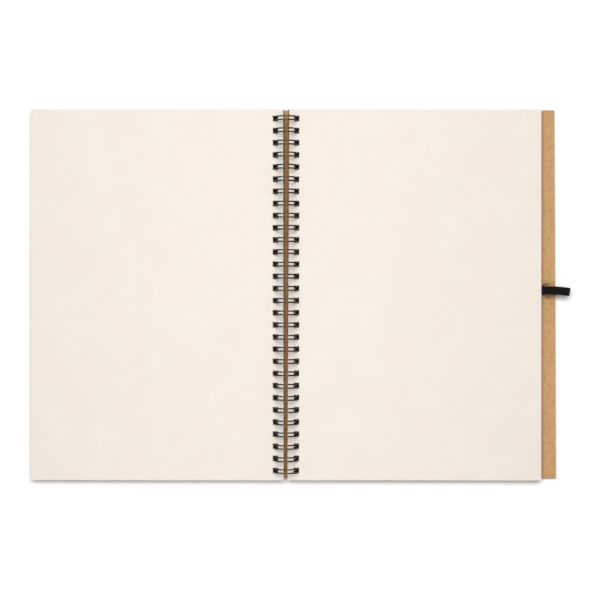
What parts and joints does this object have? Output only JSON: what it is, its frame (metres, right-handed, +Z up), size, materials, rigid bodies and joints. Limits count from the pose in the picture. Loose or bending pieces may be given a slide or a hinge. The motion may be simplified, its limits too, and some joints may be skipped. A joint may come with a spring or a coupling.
{
  "type": "sketchbook",
  "caption": "Wire-bound sketchbook lying open at its middle, with blank cream sheets, kraft board covers and a black elastic pen loop on the back cover.",
  "frame": {"origin": "middle of the open book's footprint, on the surface that it lies on", "axes": "+X from the front cover's side to the back cover's side, across the open book; +Y to the head of the pages, along the rings; +Z up out of the pages"},
  "size_m": [0.3764, 0.2588, 0.0163],
  "materials": {
    "cream_paper": "uncoated cream drawing paper, matt, fine tooth",
    "kraft_board": "uncoated brown kraft board, matt, with fine darker and lighter fibres",
    "black_wire": "black nylon-coated steel wire, semi-gloss",
    "black_elastic": "flat woven black elastic, matt with a faint sheen"
  },
  "bodies": {
    "root": {"back_cover": "kraft_board", "wire_binding": "black_wire", "pen_loop": "black_elastic"},
    "front_cover": {"front_cover": "kraft_board"},
    "left_leaves_low": {"left_sheet_01": "cream_paper", "left_sheet_02": "cream_paper", "left_sheet_03": "cream_paper", "left_sheet_04": "cream_paper", "left_sheet_05": "cream_paper", "left_sheet_06": "cream_paper", "left_sheet_07": "cream_paper", "left_sheet_08": "cream_paper", "left_sheet_09": "cream_paper", "left_sheet_10": "cream_paper", "left_sheet_11": "cream_paper", "left_sheet_12": "cream_paper"},
    "left_leaves_middle": {"left_sheet_13": "cream_paper", "left_sheet_14": "cream_paper", "left_sheet_15": "cream_paper", "left_sheet_16": "cream_paper", "left_sheet_17": "cream_paper", "left_sheet_18": "cream_paper", "left_sheet_19": "cream_paper"},
    "left_leaves_upper": {"left_sheet_20": "cream_paper", "left_sheet_21": "cream_paper", "left_sheet_22": "cream_paper"},
    "left_leaves_near_top": {"left_sheet_23": "cream_paper", "left_sheet_24": "cream_paper"},
    "left_leaf_top": {"left_sheet_25": "cream_paper"},
    "right_leaves_low": {"right_sheet_01": "cream_paper", "right_sheet_02": "cream_paper", "right_sheet_03": "cream_paper", "right_sheet_04": "cream_paper", "right_sheet_05": "cream_paper", "right_sheet_06": "cream_paper", "right_sheet_07": "cream_paper", "right_sheet_08": "cream_paper", "right_sheet_09": "cream_paper", "right_sheet_10": "cream_paper", "right_sheet_11": "cream_paper", "right_sheet_12": "cream_paper"},
    "right_leaves_middle": {"right_sheet_13": "cream_paper", "right_sheet_14": "cream_paper", "right_sheet_15": "cream_paper", "right_sheet_16": "cream_paper", "right_sheet_17": "cream_paper", "right_sheet_18": "cream_paper", "right_sheet_19": "cream_paper"},
    "right_leaves_upper": {"right_sheet_20": "cream_paper", "right_sheet_21": "cream_paper", "right_sheet_22": "cream_paper"},
    "right_leaves_near_top": {"right_sheet_23": "cream_paper", "right_sheet_24": "cream_paper"},
    "right_leaf_top": {"right_sheet_25": "cream_paper"}
  },
  "joints": [
    {"name": "front_cover_hinge", "type": "hinge", "parent": "root", "child": "front_cover", "pos_m": [-0.0101, 0, 0.00819], "axis": [0, 1, 0], "range_deg": [0, 180]},
    {"name": "left_leaves_low_turn", "type": "hinge", "parent": "front_cover", "child": "left_leaves_low", "pos_m": [-0.0101, 0, 0.00819], "axis": [0, 1, 0], "range_deg": [0, 180]},
    {"name": "left_leaves_middle_turn", "type": "hinge", "parent": "left_leaves_low", "child": "left_leaves_middle", "pos_m": [-0.0101, 0, 0.00819], "axis": [0, 1, 0], "range_deg": [0, 180]},
    {"name": "left_leaves_upper_turn", "type": "hinge", "parent": "left_leaves_middle", "child": "left_leaves_upper", "pos_m": [-0.0101, 0, 0.00819], "axis": [0, 1, 0], "range_deg": [0, 180]},
    {"name": "left_leaves_near_top_turn", "type": "hinge", "parent": "left_leaves_upper", "child": "left_leaves_near_top", "pos_m": [-0.0101, 0, 0.00819], "axis": [0, 1, 0], "range_deg": [0, 180]},
    {"name": "left_leaf_top_turn", "type": "hinge", "parent": "left_leaves_near_top", "child": "left_leaf_top", "pos_m": [-0.0101, 0, 0.00819], "axis": [0, 1, 0], "range_deg": [0, 180]},
    {"name": "right_leaves_low_turn", "type": "hinge", "parent": "root", "child": "right_leaves_low", "pos_m": [-0.0101, 0, 0.00819], "axis": [0, -1, 0], "range_deg": [0, 180]},
    {"name": "right_leaves_middle_turn", "type": "hinge", "parent": "right_leaves_low", "child": "right_leaves_middle", "pos_m": [-0.0101, 0, 0.00819], "axis": [0, -1, 0], "range_deg": [0, 180]},
    {"name": "right_leaves_upper_turn", "type": "hinge", "parent": "right_leaves_middle", "child": "right_leaves_upper", "pos_m": [-0.0101, 0, 0.00819], "axis": [0, -1, 0], "range_deg": [0, 180]},
    {"name": "right_leaves_near_top_turn", "type": "hinge", "parent": "right_leaves_upper", "child": "right_leaves_near_top", "pos_m": [-0.0101, 0, 0.00819], "axis": [0, -1, 0], "range_deg": [0, 180]},
    {"name": "right_leaf_top_turn", "type": "hinge", "parent": "right_leaves_near_top", "child": "right_leaf_top", "pos_m": [-0.0101, 0, 0.00819], "axis": [0, -1, 0], "range_deg": [0, 180]}
  ]
}
